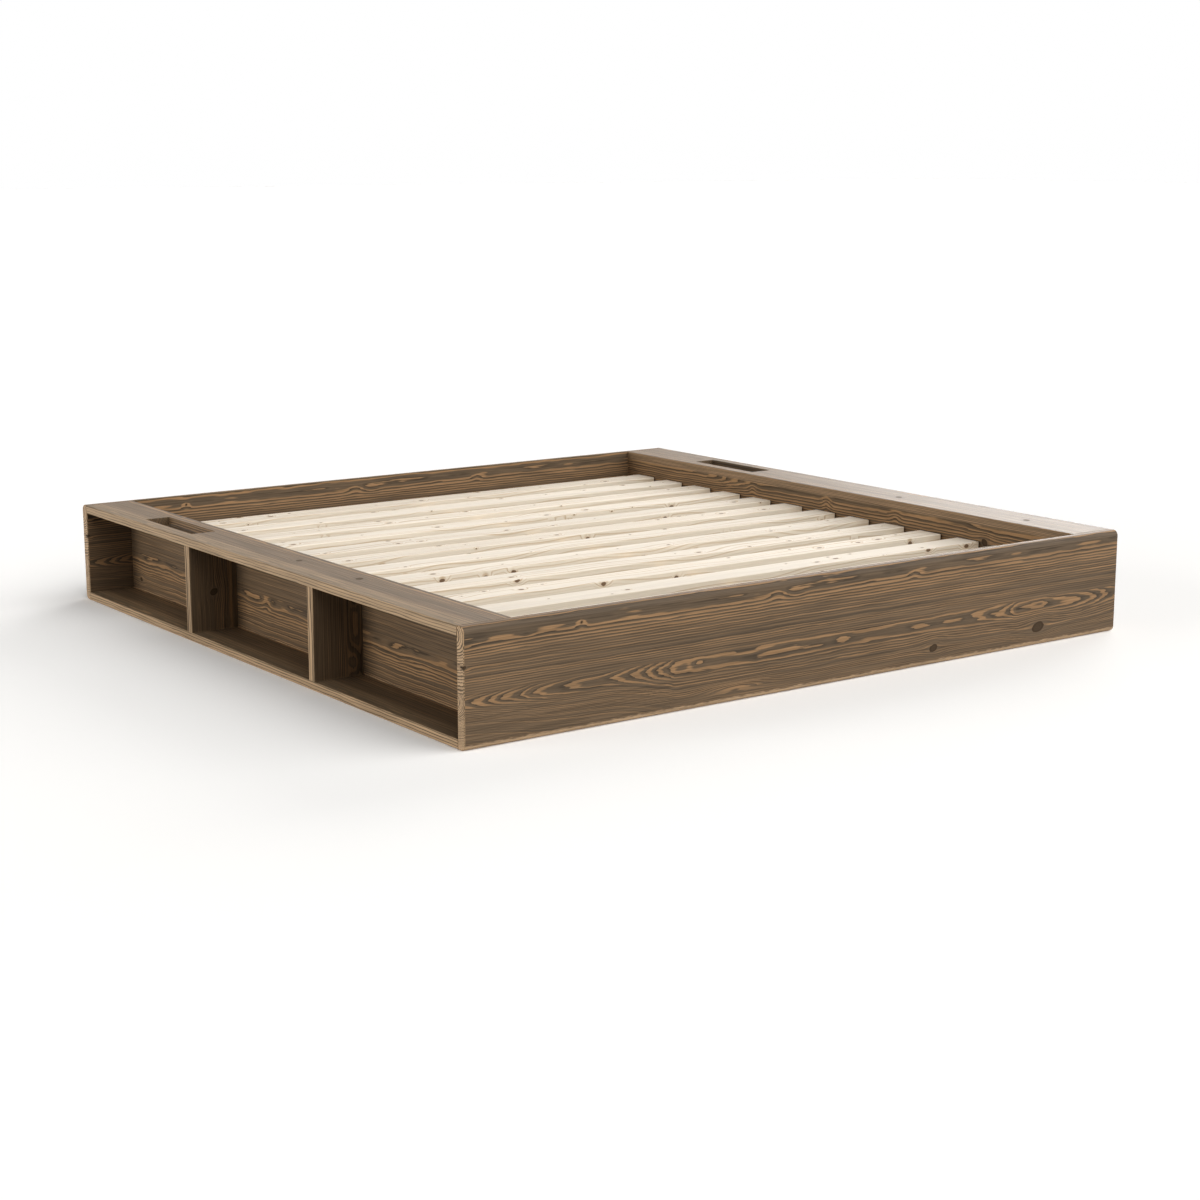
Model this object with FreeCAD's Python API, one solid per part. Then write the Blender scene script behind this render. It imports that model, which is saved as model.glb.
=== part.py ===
"""Low wooden platform bed with an open shelf case along each side.

Units are millimetres. The origin is on the floor at the centre of the footprint, +X points
to the right-hand case seen from the foot end, +Y points from foot to head, and +Z is up.

Two end boards close the ends of two shelf cases. Each case is a top, a bottom, a thin back and
upright dividers, located by loose tenons, and cam locks draw it up to the end boards.
A roll of slats lies on a ledge along each case and on a beam down the middle.
"""

import FreeCAD
import Part
import math
import os

# Mattress well
MATTRESS_LENGTH = 2000.0
MATTRESS_WIDTH = 1800.0
MATTRESS_PLAY = 5.0

# Boards of the frame
FRAME_HEIGHT = 280.0
END_BOARD_THICKNESS = 28.0
END_BOARD_ROUNDING = 15.0
CASE_DEPTH = 146.0
SHELF_THICKNESS = 23.0
BACK_THICKNESS = 9.0
DIVIDER_THICKNESS = 28.0
DIVIDER_COUNT = 2
RIM_ROUNDING = 2.5
ARRIS = 2.0
SEAM_ARRIS = 0.8

# Cable slot in each case top
SLOT_LENGTH = 290.0
SLOT_WIDTH = 70.0
SLOT_CORNER = 2.5
SLOT_FROM_DIVIDER = 33.0
SLOT_ARRIS = 1.2

# Slats and the webbing that keeps them apart
SLAT_COUNT = 13
SLAT_WIDTH = 84.0
SLAT_THICKNESS = 20.0
SLAT_HEAD_GAP = 71.0
SLAT_FOOT_GAP = 43.0
SLAT_DROP = 70.0
SLAT_END_PLAY = 5.0
SLAT_ARRIS = 1.5
STRAP_WIDTH = 25.0
STRAP_THICKNESS = 1.5
STRAP_FROM_LEDGE = 20.0

# Ledges that carry the slat ends, housed in the end boards
LEDGE_DEPTH = 30.0
LEDGE_HEIGHT = 45.0
HOUSING_DEPTH = 8.0

# Middle beam, its steel hangers and its forked legs
BEAM_THICKNESS = 28.0
BEAM_HEIGHT = 70.0
HANGER_SHEET = 2.0
HANGER_REACH = 45.0
HANGER_HEIGHT = 50.0
HANGER_WING = 24.0
LEG_COUNT = 2
LEG_SPACING = 700.0
LEG_SIDE = 50.0
LEG_FORK_DEPTH = 25.0
GLIDE_SIDE = 40.0
GLIDE_THICKNESS = 3.0

# Loose tenons at the ends of the dividers and of the shelves
TENON_LENGTH = 30.0
TENON_WIDTH = 24.0
TENON_THICKNESS = 8.0
TENON_INSET = 30.0
TENON_END_PLAY = 1.0

# Cam locks that draw the shelves up to the end boards
CAM_RADIUS = 7.5
CAM_OVER_AXIS = 4.5
CAM_REACH = 34.0
CAM_RECESS = 0.3
CAM_BOLT_RADIUS = 3.5
CAM_BOLT_GRIP = 11.0

# Hexagon-headed wood screws in the ledges and the hangers
LEDGE_SCREW_RADIUS = 3.0
LEDGE_SCREW_LENGTH = 70.0
HANGER_SCREW_RADIUS = 2.5
HANGER_SCREW_LENGTH = 22.0
HEX_SIDES = 6
HEX_CORNER_SHARE = 1.9
HEX_HEIGHT_SHARE = 1.3

# Fits
CLOSE_FIT = 0.1
SLIP_FIT = 0.3
OVERRUN = 5.0
SAME_PLACE = 1e-4

# Places worked out from the sizes above
inner_x = MATTRESS_WIDTH / 2 + MATTRESS_PLAY
inner_y = MATTRESS_LENGTH / 2 + MATTRESS_PLAY
outer_x = inner_x + CASE_DEPTH
outer_y = inner_y + END_BOARD_THICKNESS
back_x = inner_x + BACK_THICKNESS
case_x = inner_x + CASE_DEPTH / 2
cam_y = inner_y - CAM_REACH
top_low = FRAME_HEIGHT - SHELF_THICKNESS
slat_top = FRAME_HEIGHT - SLAT_DROP
slat_low = slat_top - SLAT_THICKNESS
ledge_low = slat_low - LEDGE_HEIGHT
beam_low = slat_low - BEAM_HEIGHT
bay = (2 * inner_y - DIVIDER_COUNT * DIVIDER_THICKNESS) / (DIVIDER_COUNT + 1)
divider_y = [
    -inner_y + (i + 1) * bay + (i + 0.5) * DIVIDER_THICKNESS for i in range(DIVIDER_COUNT)
]
first_slat_y = inner_y - SLAT_HEAD_GAP - SLAT_WIDTH / 2
last_slat_y = -inner_y + SLAT_FOOT_GAP + SLAT_WIDTH / 2
slat_pitch = (first_slat_y - last_slat_y) / (SLAT_COUNT - 1)
slat_y = [first_slat_y - i * slat_pitch for i in range(SLAT_COUNT)]
leg_y = [(i - (LEG_COUNT - 1) / 2) * LEG_SPACING for i in range(LEG_COUNT)]
SIDES = {"left": -1, "right": 1}
ENDS = {"foot": -1, "head": 1}
X_AXIS = FreeCAD.Vector(1, 0, 0)
Y_AXIS = FreeCAD.Vector(0, 1, 0)
Z_AXIS = FreeCAD.Vector(0, 0, 1)


def block(x, y, z):
    """A box between the two places given on each axis, in either order."""
    low = FreeCAD.Vector(min(x), min(y), min(z))
    return Part.makeBox(abs(x[1] - x[0]), abs(y[1] - y[0]), abs(z[1] - z[0]), low)


def around(middle, half):
    """The two places a half size either side of a middle."""
    return (middle - half, middle + half)


def rod(start, axis, length, radius):
    """A cylinder from a start point along an axis."""
    return Part.makeCylinder(radius, length, FreeCAD.Vector(*start), axis)


def edges_at(shape, **places):
    """The edges whose ends all lie at the named places, such as x=0 and z=10."""
    return [
        edge
        for edge in shape.Edges
        if all(
            abs(getattr(vertex, axis.upper()) - place) < SAME_PLACE
            for vertex in edge.Vertexes
            for axis, place in places.items()
        )
    ]


def rounded(shape, radius, *picks):
    """Rounds the edges at each pick, a dictionary of places."""
    return shape.makeFillet(radius, [edge for places in picks for edge in edges_at(shape, **places)])


def bevelled(shape, size, *picks):
    """Takes the sharpness off the edges at each pick with a small bevel."""
    return shape.makeChamfer(size, [edge for places in picks for edge in edges_at(shape, **places)])


def divider_tenon(x, y, seat, fit=0, play=0):
    """Loose tenon in a divider's end, or its mortise when given a fit and end play."""
    return block(
        around(x, TENON_WIDTH / 2 + fit),
        around(y, TENON_THICKNESS / 2 + fit),
        around(seat, TENON_LENGTH / 2 + play),
    )


def shelf_tenon(x, end, low, fit=0, play=0):
    """Loose tenon in a shelf's end, or its mortise when given a fit and end play."""
    return block(
        around(x, TENON_WIDTH / 2 + fit),
        around(end * inner_y, TENON_LENGTH / 2 + play),
        around(low + SHELF_THICKNESS / 2, TENON_THICKNESS / 2 + fit),
    )


def divider_tenon_x(side):
    """Places of the tenons across a divider's depth."""
    return [side * (back_x + TENON_INSET), side * (outer_x - TENON_INSET)]


def shelf_tenon_x(side):
    """Places of the tenons across a shelf's depth."""
    return [side * (inner_x + TENON_INSET), side * (outer_x - TENON_INSET)]


def end_board(end):
    """Head or foot board: long outer edges well rounded, the joints cut in its inner face."""
    face = end * outer_y
    seat = end * inner_y
    shape = block((-outer_x, outer_x), (seat, face), (0, FRAME_HEIGHT))
    shape = rounded(shape, END_BOARD_ROUNDING, {"y": face, "z": 0}, {"y": face, "z": FRAME_HEIGHT})
    shape = bevelled(shape, ARRIS, {"x": -outer_x}, {"x": outer_x})
    for side in SIDES.values():
        shape = shape.cut(ledge_housing(side, end))
        for low in (0, top_low):
            for x in shelf_tenon_x(side):
                shape = shape.cut(shelf_tenon(x, end, low, CLOSE_FIT, TENON_END_PLAY))
            start = (side * case_x, seat, low + SHELF_THICKNESS / 2)
            depth = CAM_BOLT_GRIP + CLOSE_FIT
            shape = shape.cut(rod(start, Y_AXIS * end, depth, CAM_BOLT_RADIUS + CLOSE_FIT))
    for x, z in hanger_screw_places():
        hole = HANGER_SCREW_RADIUS + CLOSE_FIT
        shape = shape.cut(rod((x, seat, z), Y_AXIS * end, HANGER_SCREW_LENGTH, hole))
    return shape


def ledge_housing(side, end):
    """The shallow pocket in an end board that takes the end of a ledge."""
    return block(
        (side * inner_x, side * (inner_x - LEDGE_DEPTH - SLIP_FIT)),
        (end * inner_y, end * (inner_y + HOUSING_DEPTH + SLIP_FIT)),
        (ledge_low - SLIP_FIT, slat_low + SLIP_FIT),
    )


def shelf_joints(shape, side, low, seat):
    """Cuts a shelf's mortises, cam pockets and bolt holes; its dividers meet it at height seat."""
    for y in divider_y:
        for x in divider_tenon_x(side):
            shape = shape.cut(divider_tenon(x, y, seat, CLOSE_FIT, TENON_END_PLAY))
    pocket_depth = SHELF_THICKNESS / 2 + CAM_OVER_AXIS
    hole = CAM_BOLT_RADIUS + SLIP_FIT
    for end in ENDS.values():
        for x in shelf_tenon_x(side):
            shape = shape.cut(shelf_tenon(x, end, low, CLOSE_FIT, TENON_END_PLAY))
        x, y = side * case_x, end * cam_y
        shape = shape.cut(rod((x, y, low), Z_AXIS, pocket_depth, CAM_RADIUS))
        mouth = (x, y, low + SHELF_THICKNESS / 2)
        shape = shape.cut(rod(mouth, Y_AXIS * end, CAM_REACH + OVERRUN, hole))
    return shape


def slot_cutter(side):
    """The slot through a case top, beside the divider nearest the head, its corners just eased."""
    near = divider_y[-1] + DIVIDER_THICKNESS / 2 + SLOT_FROM_DIVIDER
    x = around(side * case_x, SLOT_WIDTH / 2)
    y = (near, near + SLOT_LENGTH)
    cutter = block(x, y, (top_low - OVERRUN, FRAME_HEIGHT + OVERRUN))
    return rounded(cutter, SLOT_CORNER, *({"x": a, "y": b} for a in x for b in y))


def case_top(side):
    """Case top with its cable slot."""
    face = side * outer_x
    rim = side * inner_x
    shape = block((rim, face), (-inner_y, inner_y), (top_low, FRAME_HEIGHT))
    upper = {"z": FRAME_HEIGHT}
    shape = rounded(shape, RIM_ROUNDING, {"x": face, **upper}, {"x": rim, **upper})
    shape = bevelled(shape, SEAM_ARRIS, {"x": face, "z": top_low}, {"x": rim, "z": top_low})
    shape = shape.cut(slot_cutter(side))
    reach = SLOT_WIDTH / 2 + SAME_PLACE
    mouth = [
        edge
        for edge in edges_at(shape, **upper)
        if all(
            abs(vertex.X - side * case_x) <= reach and abs(vertex.Y) < inner_y
            for vertex in edge.Vertexes
        )
    ]
    shape = shape.makeChamfer(SLOT_ARRIS, mouth)
    return shelf_joints(shape, side, top_low, top_low)


def case_bottom(side):
    """Case bottom, which stands on the floor."""
    face = side * outer_x
    shape = block((side * inner_x, face), (-inner_y, inner_y), (0, SHELF_THICKNESS))
    shape = rounded(shape, RIM_ROUNDING, {"x": face, "z": 0})
    shape = bevelled(shape, SEAM_ARRIS, {"x": face, "z": SHELF_THICKNESS})
    return shelf_joints(shape, side, 0, SHELF_THICKNESS)


def case_back(side):
    """Thin back between the shelves, flush with their inner edges."""
    x = (side * inner_x, side * back_x)
    shape = block(x, (-inner_y, inner_y), (SHELF_THICKNESS, top_low))
    hole = LEDGE_SCREW_RADIUS + SLIP_FIT
    for start in ledge_screw_starts(side):
        shape = shape.cut(rod(start, X_AXIS * side, LEDGE_SCREW_LENGTH, hole))
    return shape


def divider(side, y):
    """Upright between the shelves, its front edge flush with theirs."""
    face = side * outer_x
    y_pair = around(y, DIVIDER_THICKNESS / 2)
    shape = block((side * back_x, face), y_pair, (SHELF_THICKNESS, top_low))
    shape = bevelled(shape, SEAM_ARRIS, *({"x": face, "y": b} for b in y_pair))
    for x in divider_tenon_x(side):
        for seat in (SHELF_THICKNESS, top_low):
            shape = shape.cut(divider_tenon(x, y, seat, CLOSE_FIT, TENON_END_PLAY))
    hole = LEDGE_SCREW_RADIUS + CLOSE_FIT
    for start in ledge_screw_starts(side):
        shape = shape.cut(rod(start, X_AXIS * side, LEDGE_SCREW_LENGTH, hole))
    return shape


def divider_tenons(side):
    """Loose tenons that locate both dividers of a case between its shelves."""
    return [
        divider_tenon(x, y, seat)
        for y in divider_y
        for x in divider_tenon_x(side)
        for seat in (SHELF_THICKNESS, top_low)
    ]


def shelf_tenons(side):
    """Loose tenons that locate both shelves of a case in the end boards."""
    return [
        shelf_tenon(x, end, low)
        for end in ENDS.values()
        for x in shelf_tenon_x(side)
        for low in (0, top_low)
    ]


def cam_lock(x, end, low):
    """Cam disc with a throat that takes the end of its bolt."""
    y = end * cam_y
    axis_z = low + SHELF_THICKNESS / 2
    height = SHELF_THICKNESS / 2 + CAM_OVER_AXIS - CAM_RECESS
    disc = rod((x, y, low + CAM_RECESS), Z_AXIS, height, CAM_RADIUS - CLOSE_FIT)
    half = CAM_BOLT_RADIUS + CLOSE_FIT
    throat = block(around(x, half), (y, y + end * (CAM_RADIUS + OVERRUN)), around(axis_z, half))
    return disc.cut(throat)


def cam_bolt(x, end, low):
    """Bolt from an end board into its cam lock."""
    start = (x, end * (inner_y + CAM_BOLT_GRIP), low + SHELF_THICKNESS / 2)
    return rod(start, Y_AXIS * -end, CAM_REACH + CAM_BOLT_GRIP - CLOSE_FIT, CAM_BOLT_RADIUS)


def cam_fittings(side, maker):
    """One cam part at each end of both shelves of a case."""
    return [maker(side * case_x, end, low) for end in ENDS.values() for low in (0, top_low)]


def hex_screw(start, axis, length, radius):
    """Hexagon-headed wood screw with its head resting on the face at start."""
    turns = [2 * math.pi * i / HEX_SIDES for i in range(HEX_SIDES + 1)]
    corner = radius * HEX_CORNER_SHARE
    outline = [FreeCAD.Vector(corner * math.cos(t), corner * math.sin(t), 0) for t in turns]
    head = Part.Face(Part.makePolygon(outline)).extrude(Z_AXIS * -radius * HEX_HEIGHT_SHARE)
    screw = Part.makeCylinder(radius, length).fuse(head)
    screw.Placement = FreeCAD.Placement(FreeCAD.Vector(*start), FreeCAD.Rotation(Z_AXIS, axis))
    return screw


def ledge_screw_starts(side):
    """Head centres of the screws through a ledge into the dividers."""
    x = side * (inner_x - LEDGE_DEPTH)
    return [(x, y, ledge_low + LEDGE_HEIGHT / 2) for y in divider_y]


def slat_ledge(side):
    """Ledge along a case, its ends housed in the end boards."""
    x = (side * inner_x, side * (inner_x - LEDGE_DEPTH))
    shape = block(x, around(0, inner_y + HOUSING_DEPTH), (ledge_low, slat_low))
    shape = bevelled(shape, ARRIS, {"x": x[1], "z": ledge_low}, {"x": x[1], "z": slat_low})
    axis = X_AXIS * side
    for start in ledge_screw_starts(side):
        shape = shape.cut(rod(start, axis, LEDGE_DEPTH + OVERRUN, LEDGE_SCREW_RADIUS + SLIP_FIT))
    return shape


def ledge_screws(side):
    """Screws that hold a ledge and the case back to the dividers."""
    length = LEDGE_SCREW_LENGTH - CLOSE_FIT
    starts = ledge_screw_starts(side)
    return [hex_screw(start, X_AXIS * side, length, LEDGE_SCREW_RADIUS) for start in starts]


def slat(y):
    """One slat with bevelled long edges."""
    y_pair = around(y, SLAT_WIDTH / 2)
    z_pair = (slat_low, slat_top)
    shape = block(around(0, inner_x - SLAT_END_PLAY), y_pair, z_pair)
    return bevelled(shape, SLAT_ARRIS, *({"y": a, "z": b} for a in y_pair for b in z_pair))


def slat_strap(side):
    """Webbing under the slats, clear of the ledge."""
    edge = inner_x - LEDGE_DEPTH - STRAP_FROM_LEDGE
    return block(
        (side * edge, side * (edge - STRAP_WIDTH)),
        (last_slat_y - SLAT_WIDTH / 2, first_slat_y + SLAT_WIDTH / 2),
        (slat_low - STRAP_THICKNESS, slat_low),
    )


def centre_beam():
    """Beam on edge down the middle, under the slats."""
    x_pair = around(0, BEAM_THICKNESS / 2)
    reach = inner_y - HANGER_SHEET - SLIP_FIT
    shape = block(x_pair, around(0, reach), (beam_low, slat_low))
    return bevelled(shape, ARRIS, *({"x": a, "z": slat_low} for a in x_pair))


def hanger_screw_places():
    """Places of the screws in a hanger's wings, as x and z."""
    x = BEAM_THICKNESS / 2 + SLIP_FIT + HANGER_SHEET + HANGER_WING / 2
    return [(a, beam_low + HANGER_HEIGHT / 2) for a in (-x, x)]


def beam_hanger(end):
    """Folded steel cradle for one end of the beam, with a screw wing each side."""
    seat = end * inner_y
    front = end * (inner_y - HANGER_SHEET)
    inside = BEAM_THICKNESS / 2 + SLIP_FIT
    outside = inside + HANGER_SHEET
    z_pair = (beam_low - HANGER_SHEET, beam_low + HANGER_HEIGHT)
    plate = block(around(0, outside + HANGER_WING), (seat, front), z_pair)
    cradle = block(around(0, outside), (seat, end * (inner_y - HANGER_REACH)), z_pair)
    room = block(
        around(0, inside),
        (front, end * (inner_y - HANGER_REACH - OVERRUN)),
        (beam_low, beam_low + HANGER_HEIGHT + OVERRUN),
    )
    shape = cradle.cut(room).fuse(plate).removeSplitter()
    hole = HANGER_SCREW_RADIUS + CLOSE_FIT
    for x, z in hanger_screw_places():
        shape = shape.cut(rod((x, front, z), Y_AXIS * end, HANGER_SHEET + OVERRUN, hole))
    return shape


def hanger_screws():
    """Screws that hold both hangers to the end boards."""
    return [
        hex_screw(
            (x, end * (inner_y - HANGER_SHEET), z),
            Y_AXIS * end,
            HANGER_SCREW_LENGTH,
            HANGER_SCREW_RADIUS,
        )
        for end in ENDS.values()
        for x, z in hanger_screw_places()
    ]


def centre_leg(y):
    """Square post under the beam, its top forked to hold the beam upright."""
    x_pair = around(0, LEG_SIDE / 2)
    y_pair = around(y, LEG_SIDE / 2)
    shape = block(x_pair, y_pair, (GLIDE_THICKNESS, beam_low + LEG_FORK_DEPTH))
    shape = bevelled(shape, ARRIS, *({"x": a, "y": b} for a in x_pair for b in y_pair))
    fork = block(
        around(0, BEAM_THICKNESS / 2 + SLIP_FIT),
        around(y, LEG_SIDE / 2 + OVERRUN),
        (beam_low, beam_low + LEG_FORK_DEPTH + OVERRUN),
    )
    return shape.cut(fork)


def leg_glide(y):
    """Square plastic glide under a leg."""
    half = GLIDE_SIDE / 2
    return block(around(0, half), around(y, half), (0, GLIDE_THICKNESS))


def build():
    """Every node of the bed by name."""
    nodes = {"headboard": end_board(1), "footboard": end_board(-1)}
    for name, side in SIDES.items():
        nodes[f"{name}_case_top"] = case_top(side)
        nodes[f"{name}_case_bottom"] = case_bottom(side)
        nodes[f"{name}_case_back"] = case_back(side)
        for number, y in enumerate(divider_y, 1):
            nodes[f"{name}_divider_{number}"] = divider(side, y)
        nodes[f"{name}_divider_tenons"] = Part.makeCompound(divider_tenons(side))
        nodes[f"{name}_shelf_tenons"] = Part.makeCompound(shelf_tenons(side))
        nodes[f"{name}_cam_locks"] = Part.makeCompound(cam_fittings(side, cam_lock))
        nodes[f"{name}_cam_bolts"] = Part.makeCompound(cam_fittings(side, cam_bolt))
        nodes[f"{name}_slat_ledge"] = slat_ledge(side)
        nodes[f"{name}_ledge_screws"] = Part.makeCompound(ledge_screws(side))
        nodes[f"{name}_slat_strap"] = slat_strap(side)
    for number, y in enumerate(slat_y, 1):
        nodes[f"slat_{number:02d}"] = slat(y)
    nodes["centre_beam"] = centre_beam()
    for name, end in ENDS.items():
        nodes[f"{name}_beam_hanger"] = beam_hanger(end)
    nodes["hanger_screws"] = Part.makeCompound(hanger_screws())
    for number, y in enumerate(leg_y, 1):
        nodes[f"centre_leg_{number}"] = centre_leg(y)
        nodes[f"leg_glide_{number}"] = leg_glide(y)
    return nodes


os.makedirs("parts", exist_ok=True)
for node, shape in build().items():
    shape.exportStep(f"parts/{node}.step")
    print(node, len(shape.Solids), shape.isValid(), round(shape.Volume))
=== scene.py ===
"""Looks of a low wooden platform bed: stained pine boards, pale pine slats and their fittings.

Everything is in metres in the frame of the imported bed: +X to the right-hand case seen from the
foot, +Y from foot to head, +Z up, with the origin on the floor at the centre of the footprint.
"""

import logging
import math
from dataclasses import dataclass
from enum import Enum
from typing import Union

import bmesh
import bpy
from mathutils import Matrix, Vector


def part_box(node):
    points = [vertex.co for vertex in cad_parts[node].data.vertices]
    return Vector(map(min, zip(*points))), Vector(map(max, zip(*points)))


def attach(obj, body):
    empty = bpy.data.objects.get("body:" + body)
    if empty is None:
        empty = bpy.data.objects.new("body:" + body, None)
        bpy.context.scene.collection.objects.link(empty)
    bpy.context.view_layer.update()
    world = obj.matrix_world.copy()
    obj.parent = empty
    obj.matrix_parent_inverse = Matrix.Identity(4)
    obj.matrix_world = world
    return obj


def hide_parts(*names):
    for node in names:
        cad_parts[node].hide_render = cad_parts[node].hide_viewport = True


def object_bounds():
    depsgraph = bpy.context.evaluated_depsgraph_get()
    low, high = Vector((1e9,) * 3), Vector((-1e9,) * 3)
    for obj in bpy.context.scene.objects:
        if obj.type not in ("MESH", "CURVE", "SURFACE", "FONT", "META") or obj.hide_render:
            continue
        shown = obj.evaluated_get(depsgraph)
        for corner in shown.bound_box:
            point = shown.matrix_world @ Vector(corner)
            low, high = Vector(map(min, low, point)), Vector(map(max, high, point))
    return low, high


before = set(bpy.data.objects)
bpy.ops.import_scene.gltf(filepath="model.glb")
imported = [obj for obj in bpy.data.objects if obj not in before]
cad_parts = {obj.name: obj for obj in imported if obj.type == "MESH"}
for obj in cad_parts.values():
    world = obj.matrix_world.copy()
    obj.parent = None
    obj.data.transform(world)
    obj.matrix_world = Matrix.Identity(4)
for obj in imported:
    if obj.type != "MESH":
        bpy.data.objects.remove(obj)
CAD_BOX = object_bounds()
BODY = "root"
SIDES = ("left", "right")
FIRST_SEED, SEED_STEP = 20.0, 30.0
LOG = logging.getLogger("bed")

Colour = tuple[float, float, float]
Plug = Union["Wire", float, tuple]
WHITE: Colour = (1.0, 1.0, 1.0)


class Axis(Enum):
    """An axis of the bed's frame, as its place in a coordinate."""

    X = 0
    Y = 1
    Z = 2


class Face(Enum):
    """Which end of the depth axis a board shows: its low or its high side."""

    LOW = 1.0
    HIGH = -1.0


# Node building


class Wire:
    """A node's output, from which plain arithmetic and these methods lead on to further nodes."""

    def __init__(self, graph: "Graph", socket: bpy.types.NodeSocket) -> None:
        """Keeps the output with the graph that it belongs to."""
        self.graph = graph
        self.socket = socket

    def __add__(self, other: Plug) -> "Wire":
        """The sum."""
        return self.graph.calc("ADD", self, other)

    def __sub__(self, other: Plug) -> "Wire":
        """The difference."""
        return self.graph.calc("SUBTRACT", self, other)

    def __rsub__(self, other: float) -> "Wire":
        """The difference from a number."""
        return self.graph.calc("SUBTRACT", other, self)

    def __mul__(self, other: Plug) -> "Wire":
        """The product."""
        return self.graph.calc("MULTIPLY", self, other)

    def __truediv__(self, other: Plug) -> "Wire":
        """The quotient."""
        return self.graph.calc("DIVIDE", self, other)

    def __abs__(self) -> "Wire":
        """The amount without its sign."""
        return self.graph.calc("ABSOLUTE", self)

    def times_plus(self, factor: Plug, term: Plug) -> "Wire":
        """The product with a factor, plus a term."""
        return self.graph.calc("MULTIPLY_ADD", self, factor, term)

    def most(self, other: Plug) -> "Wire":
        """The larger of two."""
        return self.graph.calc("MAXIMUM", self, other)

    def least(self, other: Plug) -> "Wire":
        """The smaller of two."""
        return self.graph.calc("MINIMUM", self, other)

    def ramp(self, start: Plug, end: Plug, low: Plug = 0.0, high: Plug = 1.0) -> "Wire":
        """A smooth step from low to high while this goes from start to end."""
        plugs = {"Value": self, "From Min": start, "From Max": end, "To Min": low, "To Max": high}
        return self.graph.output("ShaderNodeMapRange", plugs, interpolation_type="SMOOTHSTEP")

    def split(self) -> list["Wire"]:
        """The three parts of a vector."""
        parts = self.graph.node("ShaderNodeSeparateXYZ", {0: self}).outputs
        return [Wire(self.graph, part) for part in parts]

    def stretch(self, scale: tuple[float, float, float], seed: float = 0.0) -> "Wire":
        """A place scaled along each axis and shifted by a seed."""
        return self.graph.vector("MULTIPLY_ADD", self, scale, (seed, seed * 1.7, seed * 2.3))

    def noise(self, detail: float = 2.0) -> "Wire":
        """Soft noise from 0 to 1 at a place."""
        return self.graph.output("ShaderNodeTexNoise", {"Vector": self, "Scale": 1.0, "Detail": detail})

    def swing(self, reach: float, detail: float = 2.0) -> "Wire":
        """Soft noise about zero at a place, from minus to plus a reach."""
        return self.noise(detail).times_plus(2 * reach, -reach)

    def chance(self, seed: float) -> "Wire":
        """A random share that is the same wherever this number is the same."""
        return self.graph.output("ShaderNodeTexWhiteNoise", {"W": self + seed}, noise_dimensions="1D")


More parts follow.
